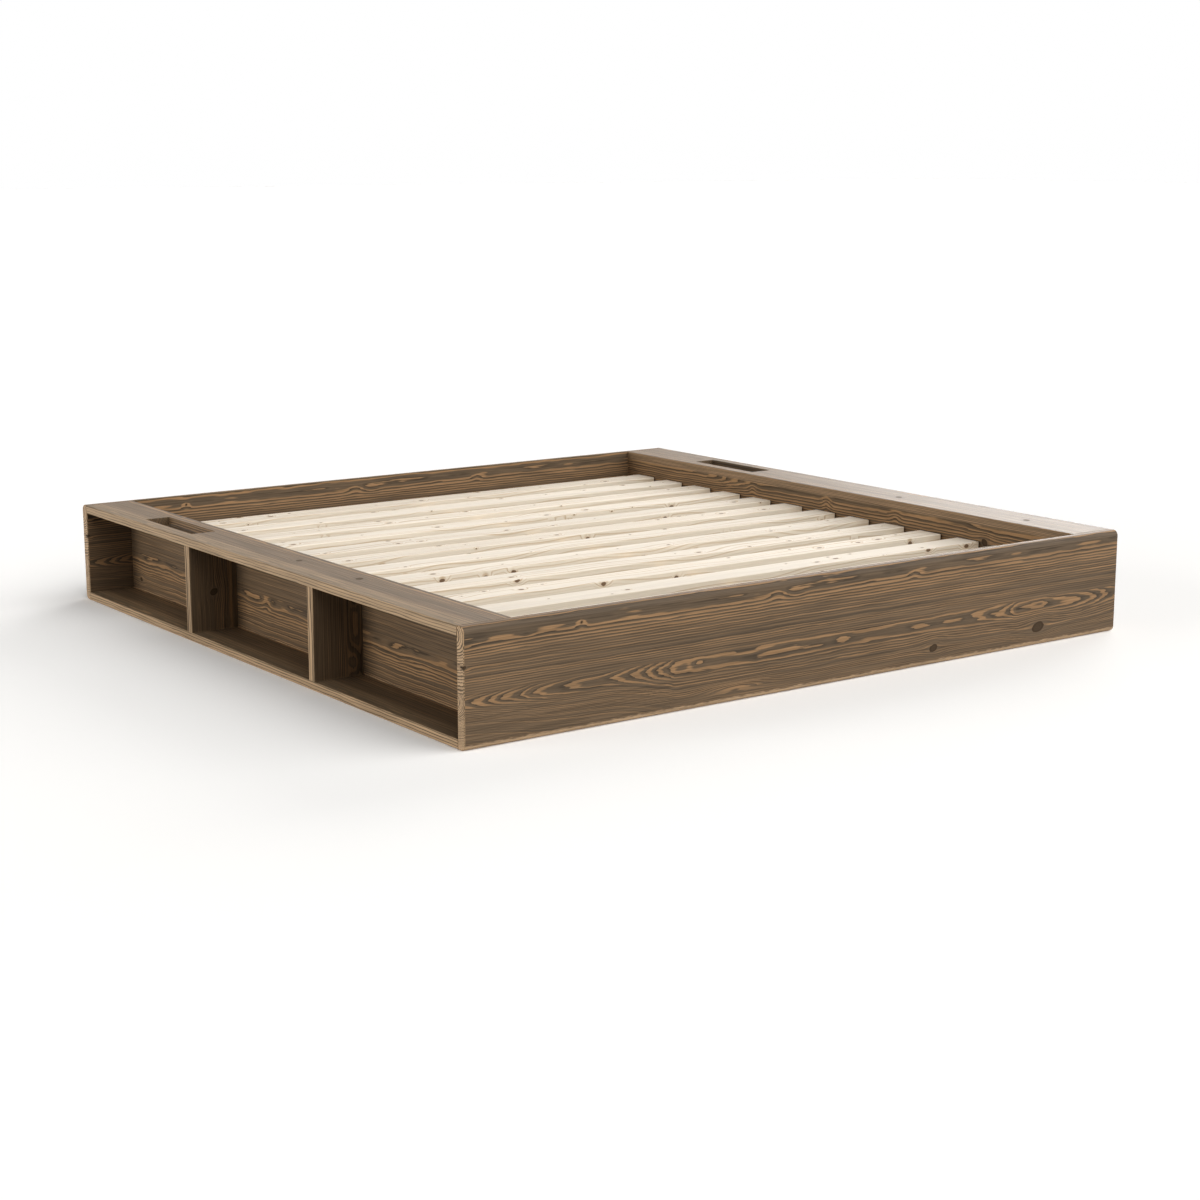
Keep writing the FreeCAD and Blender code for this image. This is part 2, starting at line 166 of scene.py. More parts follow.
class Graph:
    """A node tree being filled: numbers, colours and wires go in, and wires come out."""

    def __init__(self, tree: bpy.types.NodeTree) -> None:
        """Starts from an empty tree."""
        self.tree = tree
        tree.nodes.clear()

    def node(self, kind: str, plugs: dict, **settings: object) -> bpy.types.Node:
        """Adds one node.

        Args:
            kind: Blender's name for the node.
            plugs: What goes into each input, by the input's name or place.
            **settings: Properties of the node itself.

        Returns:
            The new node.
        """
        made = self.tree.nodes.new(kind)
        for name, value in settings.items():
            setattr(made, name, value)
        for place, plug in plugs.items():
            self.feed(made.inputs[place], plug)
        return made

    def output(self, kind: str, plugs: dict, place: Union[int, str] = 0, **settings: object) -> Wire:
        """Adds one node and gives one of its outputs."""
        return Wire(self, self.node(kind, plugs, **settings).outputs[place])

    def feed(self, socket: bpy.types.NodeSocket, plug: Plug) -> None:
        """Joins a wire to an input, or sets a number or colour on it.

        Args:
            socket: The input.
            plug: What goes in.
        """
        if isinstance(plug, Wire):
            self.tree.links.new(plug.socket, socket)
        elif socket.type == "RGBA":
            socket.default_value = (*plug[:3], 1.0)
        else:
            socket.default_value = plug

    def calc(self, operation: str, *plugs: Plug) -> Wire:
        """One sum, product or other operation on numbers."""
        return self.output("ShaderNodeMath", dict(enumerate(plugs)), operation=operation)

    def vector(self, operation: str, *plugs: Plug) -> Wire:
        """One operation on vectors."""
        return self.output("ShaderNodeVectorMath", dict(enumerate(plugs)), operation=operation)

    def join(self, *plugs: Plug) -> Wire:
        """A vector from three parts."""
        return self.output("ShaderNodeCombineXYZ", dict(enumerate(plugs)))

    def mix(self, share: Plug, first: Plug, second: Plug) -> Wire:
        """Two numbers mixed by a share of the second."""
        return self.output("ShaderNodeMix", {0: share, 2: first, 3: second})

    def blend(self, share: Plug, first: Plug, second: Plug, mode: str = "MIX") -> Wire:
        """Two colours mixed by a share of the second."""
        plugs = {0: share, 6: first, 7: second}
        return self.output("ShaderNodeMix", plugs, 2, data_type="RGBA", blend_type=mode)

    def shaded(self, colour: Plug, shade: Plug) -> Wire:
        """A colour made darker or lighter by a factor."""
        return self.blend(1.0, colour, self.join(shade, shade, shade), "MULTIPLY")

    def year_noise(self, count: Wire, scale: float) -> Wire:
        """Soft noise that goes with the count of years."""
        return self.output("ShaderNodeTexNoise", {"W": count, "Scale": scale}, noise_dimensions="1D")

    def curve(self, share: Plug, points: tuple) -> Wire:
        """A smooth curve through points.

        Args:
            share: How far along the curve to read it, from 0 to 1.
            points: The points as share and height, both from 0 to 1.

        Returns:
            The height.
        """
        made = self.node("ShaderNodeFloatCurve", {"Value": share})
        line = made.mapping.curves[0]
        for place, point in zip(line.points, (points[0], points[-1])):
            place.location = point
        for point in points[1:-1]:
            line.points.new(*point)
        made.mapping.update()
        return Wire(self, made.outputs[0])

    def spot(self) -> Wire:
        """The place on the piece, in the bed's frame."""
        return self.output("ShaderNodeTexCoord", {}, "Object")

    def facing(self) -> list[Wire]:
        """The three parts of the direction that the surface faces."""
        return self.output("ShaderNodeNewGeometry", {}, "Normal").split()

    def bump(self, strength: float, distance: float, height: Plug) -> Wire:
        """The direction that the surface faces, bent by a fine relief."""
        return self.output("ShaderNodeBump", {"Strength": strength, "Distance": distance, "Height": height})

    def finish(self, **plugs: Plug) -> None:
        """Ends a material in one surface shader.

        Args:
            **plugs: The shader's inputs, with _ for a space in the name.
        """
        named = {name.replace("_", " "): plug for name, plug in plugs.items()}
        shader = self.output("ShaderNodeBsdfPrincipled", named)
        self.node("ShaderNodeOutputMaterial", {"Surface": shader})


def new_material(name: str) -> tuple[bpy.types.Material, Graph]:
    """A fresh material and the graph that fills it.

    Args:
        name: The material's name.

    Returns:
        The material and its graph.
    """
    material = bpy.data.materials.new(name)
    material.use_nodes = True
    return material, Graph(material.node_tree)


def wear(piece: bpy.types.Object, material: bpy.types.Material) -> None:
    """Gives a piece one material all over."""
    piece.data.materials.clear()
    piece.data.materials.append(material)


def wear_nodes(material: bpy.types.Material, *nodes: str) -> None:
    """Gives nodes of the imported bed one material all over."""
    for node in nodes:
        wear(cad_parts[node], material)


# Wood


@dataclass(frozen=True)
class Swirl:
    """A spot where the rings bulge, as they do over a buried branch.

    Attributes:
        along: Place along the grain, from the board's low end.
        across: Place across the face, from its low edge.
        length: Reach along the grain.
        height: Reach across it.
        rings: How many rings the bulge lifts them by.
    """

    along: float
    across: float
    length: float
    height: float
    rings: float


@dataclass(frozen=True)
class Knot:
    """A dark branch end in the face.

    Attributes:
        along: Place along the grain, from the board's low end.
        across: Place across the face, from its low edge.
        length: Half length along the grain.
        height: Half height across it.
    """

    along: float
    across: float
    length: float
    height: float


@dataclass(frozen=True)
class Stave:
    """One of the glued staves of a board, and how the rings cross its face.

    Attributes:
        top: Upper edge across the face, from the board's low edge.
        heart: Where across the face the rings turn over.
        depth: How far the pith lies behind the face.
        ring: Width of a year's ring.
        light: Share of a ring that is hard, pale late wood.
        bold: Strength of the late-wood lines.
        reach: How far from the heart the lines stay bold.
        drift: Height of the pith along the board, as points of share and rings, or none if level.
        pinch: How much the rings draw together for each ring of that height.
        sway: How far the heart line strays.
        wave: How far the rings stray from straight.
        flame: How far the pith strays, in rings.
        curl: How far small curls bend the rings, in rings.
        pale: Share of washed-out tone.
        seed: Start of this stave's chances.
        swirls: Spots where the rings bulge.
    """

    top: float
    heart: float
    depth: float = 0.048
    ring: float = 0.0040
    light: float = 0.46
    bold: float = 1.0
    reach: float = 0.042
    drift: tuple[tuple[float, float], ...] = ()
    pinch: float = 0.0
    sway: float = 0.006
    wave: float = 0.0026
    flame: float = 0.6
    curl: float = 0.25
    # pale: Share of washed-out tone, which on a case top is partly painted sheen.
    pale: float = 0.0
    seed: float = 0.0
    swirls: tuple[Swirl, ...] = ()


def nearness(along: Wire, across: Wire, spot: Union[Swirl, Knot]) -> Wire:
    """1 at the middle of a spot, falling away smoothly.

    Args:
        along: Place along the grain.
        across: Place across the face.
        spot: The swirl or knot.

    Returns:
        The nearness.
    """
    u = (along - spot.along) / spot.length
    v = (across - spot.across) / spot.height
    return along.graph.calc("EXPONENT", u.times_plus(u, v * v) * -1.0)


def part_round(along: Wire, across: Wire, knot: Knot) -> Wire:
    """Place across the face with the grain parted round a knot.

    Args:
        along: Place along the grain.
        across: Place across the face.
        knot: The knot.

    Returns:
        The place across.
    """
    wider = Knot(knot.along, knot.across, 3.2 * knot.length, 2.4 * knot.height)
    share = nearness(along, across, wider) * 0.8
    return across - (across - knot.across) * share


def knot_reach(place: Wire, knot: Knot) -> Wire:
    """Distance from a knot's middle, 1 at its rim.

    Args:
        place: Place in the board.
        knot: The knot, which runs into the board and leans a little.

    Returns:
        The distance.
    """
    along, across, into = place.split()
    rough = place.stretch((60.0, 90.0, 90.0)).swing(0.22)
    u = (along - knot.along) / knot.length
    v = u.times_plus(-0.25, (across - knot.across) / knot.height)
    w = into / (3.0 * knot.length)
    return place.graph.calc("SQRT", w.times_plus(w, u.times_plus(u, v * v))) + rough


@dataclass(frozen=True)
class StainedPine:
    """Pine under a dark stain, which the soft early wood drinks and the hard late wood resists.

    Attributes:
        grain: Axis that the grain follows.
        across: Axis across the face.
        depth: Axis through the board.
        face: Side of the depth axis that shows.
        staves: The glued staves, from the low edge up.
        knots: Branch ends.
        lip: Side across the board with a barely stained edge: -1 low, 1 high, 0 none.
        pale_mark: Height of the painted highlight along the low edge, where the rounded edge catches light
            from the floor.
        sheen: Level of the lacquer's shine.
        rubbed: How far the edges have gone dull.
        slot: How far painted shade darkens the long walls of a slot.
        relief: How deep the figure is felt in the surface.
        early: Tone of the early wood.
        early_warm: Tone of the early wood's warmer streaks.
        late: Tone of the late wood.
        bare: Tone of the late wood in the ends and the lip.
        washed: Tone of worn edges.
        knot_tone: Tone of the knots.
        darkest: Bound on how dark the early wood goes, below 0.
        arris: How far the wear reaches from an edge.
    """

    grain: Axis
    across: Axis
    depth: Axis
    face: Face
    staves: tuple[Stave, ...]
    knots: tuple[Knot, ...] = ()
    lip: int = 0
    pale_mark: float = 0.0
    sheen: float = 0.25
    rubbed: float = 0.2
    slot: float = 0.0
    relief: float = 0.16
    early: Colour = (0.0920, 0.0640, 0.0392)
    early_warm: Colour = (0.1210, 0.0822, 0.0490)
    late: Colour = (0.284, 0.167, 0.081)
    bare: Colour = (0.515, 0.350, 0.208)
    # washed: Tone of worn edges, and of the washed-out share, partly painted sheen on the case tops.
    washed: Colour = (0.345, 0.245, 0.146)
    knot_tone: Colour = (0.043, 0.026, 0.013)
    darkest: float = -0.55
    arris: float = 0.0045

    def dress(self, node: str) -> None:
        """Finishes one board.

        Args:
            node: The board's name.
        """
        material, graph = new_material(f"{node}_stained_pine")
        low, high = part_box(node)
        place = self.board_place(graph, low, high)
        ends, cut, painted_recess_shade = self.cut_faces(place, high - low)
        figure, pale = self.figure(place, (high - low)[self.grain.value], ends, cut)
        self.paint(place, figure, pale, cut, painted_recess_shade, self.edge_wear(graph, low, high))
        wear_nodes(material, node)

    def board_place(self, graph: Graph, low: Vector, high: Vector) -> Wire:
        """Place along the grain, across the face and into the board.

        Args:
            graph: The material's graph.
            low: The board's lowest corner.
            high: The board's highest corner.

        Returns:
            The place as a vector.
        """
        start = Vector(low)
        if self.face is Face.HIGH:
            start[self.depth.value] = high[self.depth.value]
        parts = graph.vector("SUBTRACT", graph.spot(), tuple(start)).split()
        into = parts[self.depth.value] * self.face.value
        return graph.join(parts[self.grain.value], parts[self.across.value], into)

    def cut_faces(self, place: Wire, size: Vector) -> tuple[Wire, Wire, Wire]:
        """Where the board's ends and its lip are, which took little stain, and the painted shade on a
        slot's walls.

        Args:
            place: Place in the board.
            size: The board's size.

        Returns:
            1 on the ends, 1 on the ends and the lip, and the painted shade that darkens the walls of a
            slot.
        """
        normal = place.graph.facing()
        sideways = normal[self.across.value]
        along, across, _ = place.split()
        to_end = along.least(size[self.grain.value] - along)
        turned = abs(normal[self.grain.value]).ramp(0.5, 0.8)
        ends = turned * to_end.ramp(0.009, 0.006)
        # Painted shade on the end walls of a slot, which face along the grain away from the board's ends.
        painted_recess_shade = turned * to_end.ramp(0.006, 0.009, 0.0, 0.5)
        if not self.lip:
            return ends, ends, painted_recess_shade
        from_high = size[self.across.value] - across
        # Painted shade on the long walls of a slot, as strong as the slot share.
        side = abs(sideways).ramp(0.5, 0.8) * across.least(from_high).ramp(0.012, 0.016, 0.0, self.slot)
        inside = from_high if self.lip > 0 else across
        lip = (sideways * self.lip).ramp(0.15, 0.5) * inside.ramp(0.006, 0.004)
        return ends, ends.most(lip), painted_recess_shade.most(side)

    def edge_wear(self, graph: Graph, low: Vector, high: Vector) -> Wire:
        """How near a place is to the board's edges, 1 on an arris.

        Args:
            graph: The material's graph.
            low: The board's lowest corner.
            high: The board's highest corner.

        Returns:
            The nearness.
        """
        spot = graph.spot()
        offset = graph.vector("ABSOLUTE", graph.vector("SUBTRACT", spot, tuple((low + high) / 2)))
        a, b, c = graph.vector("SUBTRACT", tuple((high - low) / 2), offset).split()
        second = a.least(b).most(a.most(b).least(c))
        rough = spot.stretch((60.0, 60.0, 60.0)).swing(0.0015)
        return (second + rough).ramp(self.arris, 0.0)

    def figure(self, place: Wire, length: float, ends: Wire, cut: Wire) -> tuple[Wire, Plug]:
        """The figure of all the staves side by side.

        Args:
            place: Place in the board.
            length: The board's length along the grain.
            ends: 1 on the board's ends.
            cut: 1 on the ends and the lip.

        Returns:
            The figure as in rings, and the share of washed-out tone, partly painted sheen on the case tops.
        """
        across = place.split()[1]
        first, *others = self.staves
        figure, pale, seam = self.rings(place, first, length, ends, cut), first.pale, first.top
        for stave in others:
            upper = place.graph.calc("GREATER_THAN", across, seam)
            figure = place.graph.mix(upper, figure, self.rings(place, stave, length, ends, cut))
            pale = place.graph.mix(upper, pale, stave.pale)
            seam = stave.top
        return figure, pale

    def radius(self, place: Wire, stave: Stave, length: float) -> tuple[Wire, Wire, Plug]:
        """Distance from the pith of a stave, with all that bends the rings.

        Args:
            place: Place in the board.
            stave: The stave.
            length: The board's length along the grain.

        Returns:
            The distance, how far across the place lies from the heart, and how near it is to a swirl.
        """
        along, across, into = place.split()
        for knot in self.knots:
            across = part_round(along, across, knot)
        sway = place.stretch((1.6, 0.4, 0.4), stave.seed).swing(stave.sway)
        wave = place.stretch((7.0, 11.0, 11.0), stave.seed + 3.0).swing(stave.wave, 3.0)
        aside = across - stave.heart + (sway + wave)
        flame = place.stretch((5.0, 9.0, 9.0), stave.seed + 7.0).swing(stave.flame * stave.ring)
        behind = stave.depth - into + flame
        if stave.drift:
            lowest = min(rings for _, rings in stave.drift)
            span = max(rings for _, rings in stave.drift) - lowest
            points = tuple((share, (rings - lowest) / span) for share, rings in stave.drift)
            height = place.graph.curve(along / length, points).times_plus(span, lowest)
            behind = height.times_plus(stave.ring, behind)
            aside = aside * height.most(0.0).times_plus(stave.pinch, 1.0)
        ragged = place.stretch((7.0, 200.0, 200.0), stave.seed + 5.0).swing(0.32 * stave.ring)
        curl = place.stretch((14.0, 45.0, 45.0), stave.seed + 19.0).swing(stave.curl * stave.ring, 1.0)
        radius = place.graph.calc("SQRT", behind.times_plus(behind, aside * aside)) + (ragged + curl)
        stir = 0.0
        for swirl in stave.swirls:
            near = nearness(along, across, swirl)
            radius = near.times_plus(swirl.rings * stave.ring, radius)
            stir = near.most(stir)
        return radius, aside, stir

    def rings(self, place: Wire, stave: Stave, length: float, ends: Wire, cut: Wire) -> Wire:
        """The year rings at a place in one stave.

        Args:
            place: Place in the board.
            stave: The stave.
            length: The board's length along the grain.
            ends: 1 on the board's ends, where the rings show wider.
            cut: 1 on the ends and the lip, where more late wood shows.

        Returns:
            1 for a bold late-wood line, 0 for early wood, and below 0 for the darkest early wood.
        """
        graph, seed = place.graph, stave.seed
        radius, aside, stir = self.radius(place, stave, length)
        count = radius / ends.times_plus(0.4 * stave.ring, stave.ring)
        count = graph.year_noise(count, 0.43).times_plus(0.35, count)
        year, phase = graph.calc("FLOOR", count), graph.calc("FRACT", count)
        light = cut.times_plus(0.70 - stave.light, stave.light)
        turn = 1.0 - light * year.chance(seed + 0.31).times_plus(0.50, 0.70)
        late = phase.ramp(turn - 0.10, turn + 0.08) * phase.ramp(1.0, 0.95)
        deep = phase.ramp(0.28, 0.02, 0.0, 0.5)
        bold = year.chance(seed + 0.77).ramp(0.2, 0.6, 0.40 * stave.bold, stave.bold)
        off = abs(aside)
        near = off.ramp(stave.reach, 2.4 * stave.reach, 1.0, 0.30)
        stray = year.chance(seed + 0.53).ramp(0.84, 0.88, 0.0, 0.9)
        fade = place.stretch((2.2, 30.0, 30.0), seed + 9.0).noise().ramp(0.36, 0.56, 0.5, 1.0)
        heart = off.ramp(0.4 * stave.reach, 0.9 * stave.reach, 0.95 * stave.bold, 0.0)
        wall = abs(graph.facing()[self.depth.value]).ramp(0.5, 0.2).most(cut)
        strength = (bold * near.most(stray) * fade).most(stir * stave.bold).most(heart.most(wall))
        faint = graph.year_noise(count, 0.8).times_plus(0.96, -0.48)
        comes = place.stretch((3.0, 25.0, 25.0), seed + 15.0).noise().ramp(0.35, 0.65, 0.4, 1.3)
        return faint.times_plus(comes, (late - deep) * strength)

    def paint(self, place: Wire, figure: Wire, pale: Plug, cut: Wire, painted_recess_shade: Wire, edge: Wire) -> None:
        """Builds colour, gloss and relief from the figure.

        Args:
            place: Place in the board.
            figure: The year rings.
            pale: Share of washed-out tone, partly painted sheen on the case tops.
            cut: 1 on the ends and the lip.
            painted_recess_shade: Painted shade that darkens the walls of a slot.
            edge: Nearness to the board's edges.
        """
        graph, seed = place.graph, self.staves[0].seed
        fibre = place.stretch((6.0, 380.0, 380.0), seed + 11.0).noise()
        streak = place.stretch((1.6, 60.0, 60.0), seed + 13.0).noise(3.0)
        patch = place.stretch((1.3, 9.0, 9.0), seed + 17.0).noise(1.0)
        tone = streak.ramp(0.36, 0.66, 0.0, 0.6) + patch.ramp(0.40, 0.62, 0.0, 0.4)
        soft = graph.blend(tone, self.early, self.early_warm)
        soft = graph.blend(cut * 0.10, soft, self.washed)
        colour = graph.blend(figure.most(0.0), soft, graph.blend(cut, self.late, self.bare))
        # Washed-out tone on worn edges, and on the case tops partly a painted sheen.
        colour = graph.blend((edge * 0.30).most(pale), colour, self.washed)
        # Painted highlight: a pale band along the low edge, standing in for light from the floor on the
        # rounded edge.
        if self.pale_mark:
            low = place.split()[1] + place.stretch((45.0, 200.0, 200.0)).swing(0.005)
            colour = graph.blend(low.ramp(self.pale_mark, 0.5 * self.pale_mark), colour, self.bare)
        deep = figure.least(0.0).most(self.darkest)
        # The painted shade darkens the walls of a slot here.
        shade = deep.times_plus(0.75, fibre.ramp(0.30, 0.70, 0.78, 1.18)) * (1.0 - painted_recess_shade)
        colour = graph.shaded(colour, shade)
        dull = edge * self.rubbed
        for knot in self.knots:
            reach = knot_reach(place, knot)
            colour = graph.blend(reach.ramp(2.3, 1.1, 0.0, 0.55), colour, self.early_warm)
            heart = graph.calc("FRACT", reach * 3.6) * reach.ramp(0.9, 0.5, 0.0, 0.3)
            inside = reach.ramp(1.04, 0.90)
            colour = graph.blend(inside, colour, graph.blend(heart, self.knot_tone, self.early_warm))
            dull = dull.most(inside * 0.6)
        gloss = dull.times_plus(0.44, fibre.ramp(0.3, 0.7, 0.56, 0.49))
        bump = graph.bump(self.relief, 0.0005, fibre.times_plus(0.5, figure))
        graph.finish(Base_Color=colour, Roughness=gloss, Specular_IOR_Level=self.sheen, Normal=bump)


@dataclass(frozen=True)
class RawPine:
    """Planed wood with no finish: pale, with faint years and small brown knots.

    Attributes:
        name: The material's name.
        grain: Axis that the grain follows.
        early: Tone of the soft wood.
        late: Tone of the year lines.
        painted_side_shade: Tone of the long sides, a painted warm shade that stands in for light bounced
            between neighbouring pieces.
        knot_tone: Tone of the knots.
        ring: Width of a year's ring.
        knot_share: Share of the cells that hold a knot.
        pitch: Spacing of separate pieces, each with a tone of its own.
        sheen: Level of the bare wood's shine.
    """

    name: str
    grain: Axis
    early: Colour = (0.885, 0.804, 0.692)
    late: Colour = (0.620, 0.470, 0.310)
    painted_side_shade: Colour = (0.850, 0.755, 0.617)
    knot_tone: Colour = (0.170, 0.102, 0.056)
    ring: float = 0.009
    knot_share: float = 0.31
    pitch: float = 0.151
    sheen: float = 0.3

    def make(self) -> bpy.types.Material:
        """Builds the material.

        Returns:
            The material.
        """
        material, graph = new_material(self.name)
        parts = graph.spot().split()
        order = [parts[(self.grain.value + i) % 3] for i in range(3)]
        place = graph.join(*order)
        reach, halo = self.knots(place, order)
        bend = place.stretch((2.6, 7.0, 7.0)).swing(0.034, 1.0)
        side = place.stretch((0.7, 4.0, 4.0), 4.0).swing(0.05, 1.0)
        radius = (order[2] + bend).times_plus(0.9, (order[1] + side) * 0.55)
        count = halo.times_plus(1.6, radius / self.ring)
        phase = graph.calc("FRACT", count)
        bold = graph.calc("FLOOR", count).chance(0.4).ramp(0.25, 0.85, 0.10, 0.9) + halo * 0.5
        late = phase.ramp(0.45, 0.94) * phase.ramp(1.0, 0.95) * bold
        fibre = place.stretch((5.0, 300.0, 300.0), 2.0).noise(3.0)
        patch = place.stretch((1.1, 14.0, 14.0), 6.0).noise()
        piece = graph.calc("ROUND", order[1] / self.pitch).chance(0.2)
        # Painted shade: the long sides get a warmer, darker tone than the top and bottom.
        painted_side_shade = abs(graph.facing()[(self.grain.value + 1) % 3]).ramp(0.5, 0.9)
        colour = graph.blend(late, graph.blend(painted_side_shade, self.early, self.painted_side_shade), self.late)
        shade = fibre.ramp(0.3, 0.7, 0.95, 1.03) * patch.ramp(0.3, 0.7, 0.94, 1.03)
        colour = graph.shaded(colour, shade * piece.times_plus(0.06, 0.96))
        colour = graph.blend(reach.ramp(2.0, 1.0, 0.0, 0.5), colour, self.late)
        colour = graph.blend(reach.ramp(1.05, 0.80), colour, self.knot_tone)
        gloss, bump = fibre.ramp(0.3, 0.7, 0.70, 0.60), graph.bump(0.25, 0.0004, fibre)
        graph.finish(Base_Color=colour, Roughness=gloss, Specular_IOR_Level=self.sheen, Normal=bump)
        return material

    def knots(self, place: Wire, order: list[Wire]) -> tuple[Wire, Wire]:
        """Small knots strewn along the wood, which slant through it.

        Args:
            place: Place in the wood.
            order: The same along the grain and on the two other axes.

        Returns:
            Distance from the nearest knot, 1 at its rim, and 1 near a knot falling to 0 around it.
        """
        graph = place.graph
        spot = graph.join(order[0] * 13.0, (order[1] + order[2]) * 20.0, 0.0)
        plugs = {"Vector": spot, "Scale": 1.0}
        cells = graph.node("ShaderNodeTexVoronoi", plugs, voronoi_dimensions="2D").outputs
        pick, size, _ = Wire(graph, cells["Color"]).split()
        missing = graph.calc("GREATER_THAN", pick, self.knot_share) * 9.0
        rough = place.stretch((90.0, 90.0, 90.0)).swing(0.35)
        reach = Wire(graph, cells["Distance"]) / size.ramp(0.0, 1.0, 0.038, 0.120) + missing + rough
        return reach, reach.ramp(4.0, 0.8)


# Other finishes


@dataclass(frozen=True)
class Metal:
    """Plated or cast metal with a lightly mottled sheen.

    Attributes:
        name: The material's name.
        tone: Its colour.
        roughness: Its least roughness.
        tarnish: Share of the tone that is left in its dark spots.
    """

    name: str
    tone: Colour
    roughness: float
    tarnish: float = 0.72

    def make(self) -> bpy.types.Material:
        """Builds the material.

        Returns:
            The material.
        """
        material, graph = new_material(self.name)
        mottle = graph.spot().stretch((140.0, 140.0, 140.0)).noise(4.0)
        dark = tuple(self.tarnish * part for part in self.tone)
        colour = graph.blend(mottle.ramp(0.35, 0.65), dark, self.tone)
        gloss = mottle.ramp(0.3, 0.7, self.roughness + 0.15, self.roughness)
        bump = graph.bump(0.15, 0.0002, mottle)
        graph.finish(Base_Color=colour, Metallic=1.0, Roughness=gloss, Normal=bump)
        return material


@dataclass(frozen=True)
class MouldedPlastic:
    """Dark plastic with a fine moulded grain.

    Attributes:
        name: The material's name.
        tone: Its colour.
        scuffed: How much paler it is where it is scuffed.
    """

    name: str
    tone: Colour
    scuffed: float = 1.5

    def make(self) -> bpy.types.Material:
        """Builds the material.

        Returns:
            The material.
        """
        material, graph = new_material(self.name)
        spot = graph.spot()
        grain = spot.stretch((900.0, 900.0, 900.0)).noise()
        pale_mark = spot.stretch((60.0, 60.0, 60.0), 3.0).noise(3.0)
        paler = tuple(self.scuffed * part for part in self.tone)
        colour = graph.blend(pale_mark.ramp(0.4, 0.7, 0.0, 0.7), self.tone, paler)
        gloss = grain.ramp(0.3, 0.7, 0.5, 0.65)
        graph.finish(Base_Color=colour, Roughness=gloss, Normal=graph.bump(0.2, 0.0002, grain))
        return material


@dataclass(frozen=True)
class Webbing:
    """Flat woven band with a herringbone weave.

    Attributes:
        name: The material's name.
        tone: Colour of the raised yarn.
        painted_hollow_shade: Colour between the yarns, a painted shade in the hollows of the weave.
        yarn: Width of a yarn.
    """

    name: str
    tone: Colour
    painted_hollow_shade: Colour
    yarn: float

    def make(self) -> bpy.types.Material:
        """Builds the material.

        Returns:
            The material.
        """
        material, graph = new_material(self.name)
        spot = graph.spot()
        x, y, _ = spot.split()
        fold = graph.calc("PINGPONG", x, 4 * self.yarn)
        warp = graph.calc("PINGPONG", (y + fold) / self.yarn, 0.5)
        weft = graph.calc("PINGPONG", x / self.yarn, 0.5)
        fuzz = spot.stretch((700.0, 700.0, 700.0)).noise()
        height = fuzz.times_plus(0.3, weft.times_plus(0.7, warp * 1.3))
        # Painted shade: the hollows between the raised yarns are darker.
        colour = graph.blend(height.ramp(0.25, 0.95), self.painted_hollow_shade, self.tone)
        gloss = fuzz.ramp(0.3, 0.7, 0.8, 0.95)
        graph.finish(Base_Color=colour, Roughness=gloss, Normal=graph.bump(0.6, 0.0005, height))
        return material


# Sub-assemblies


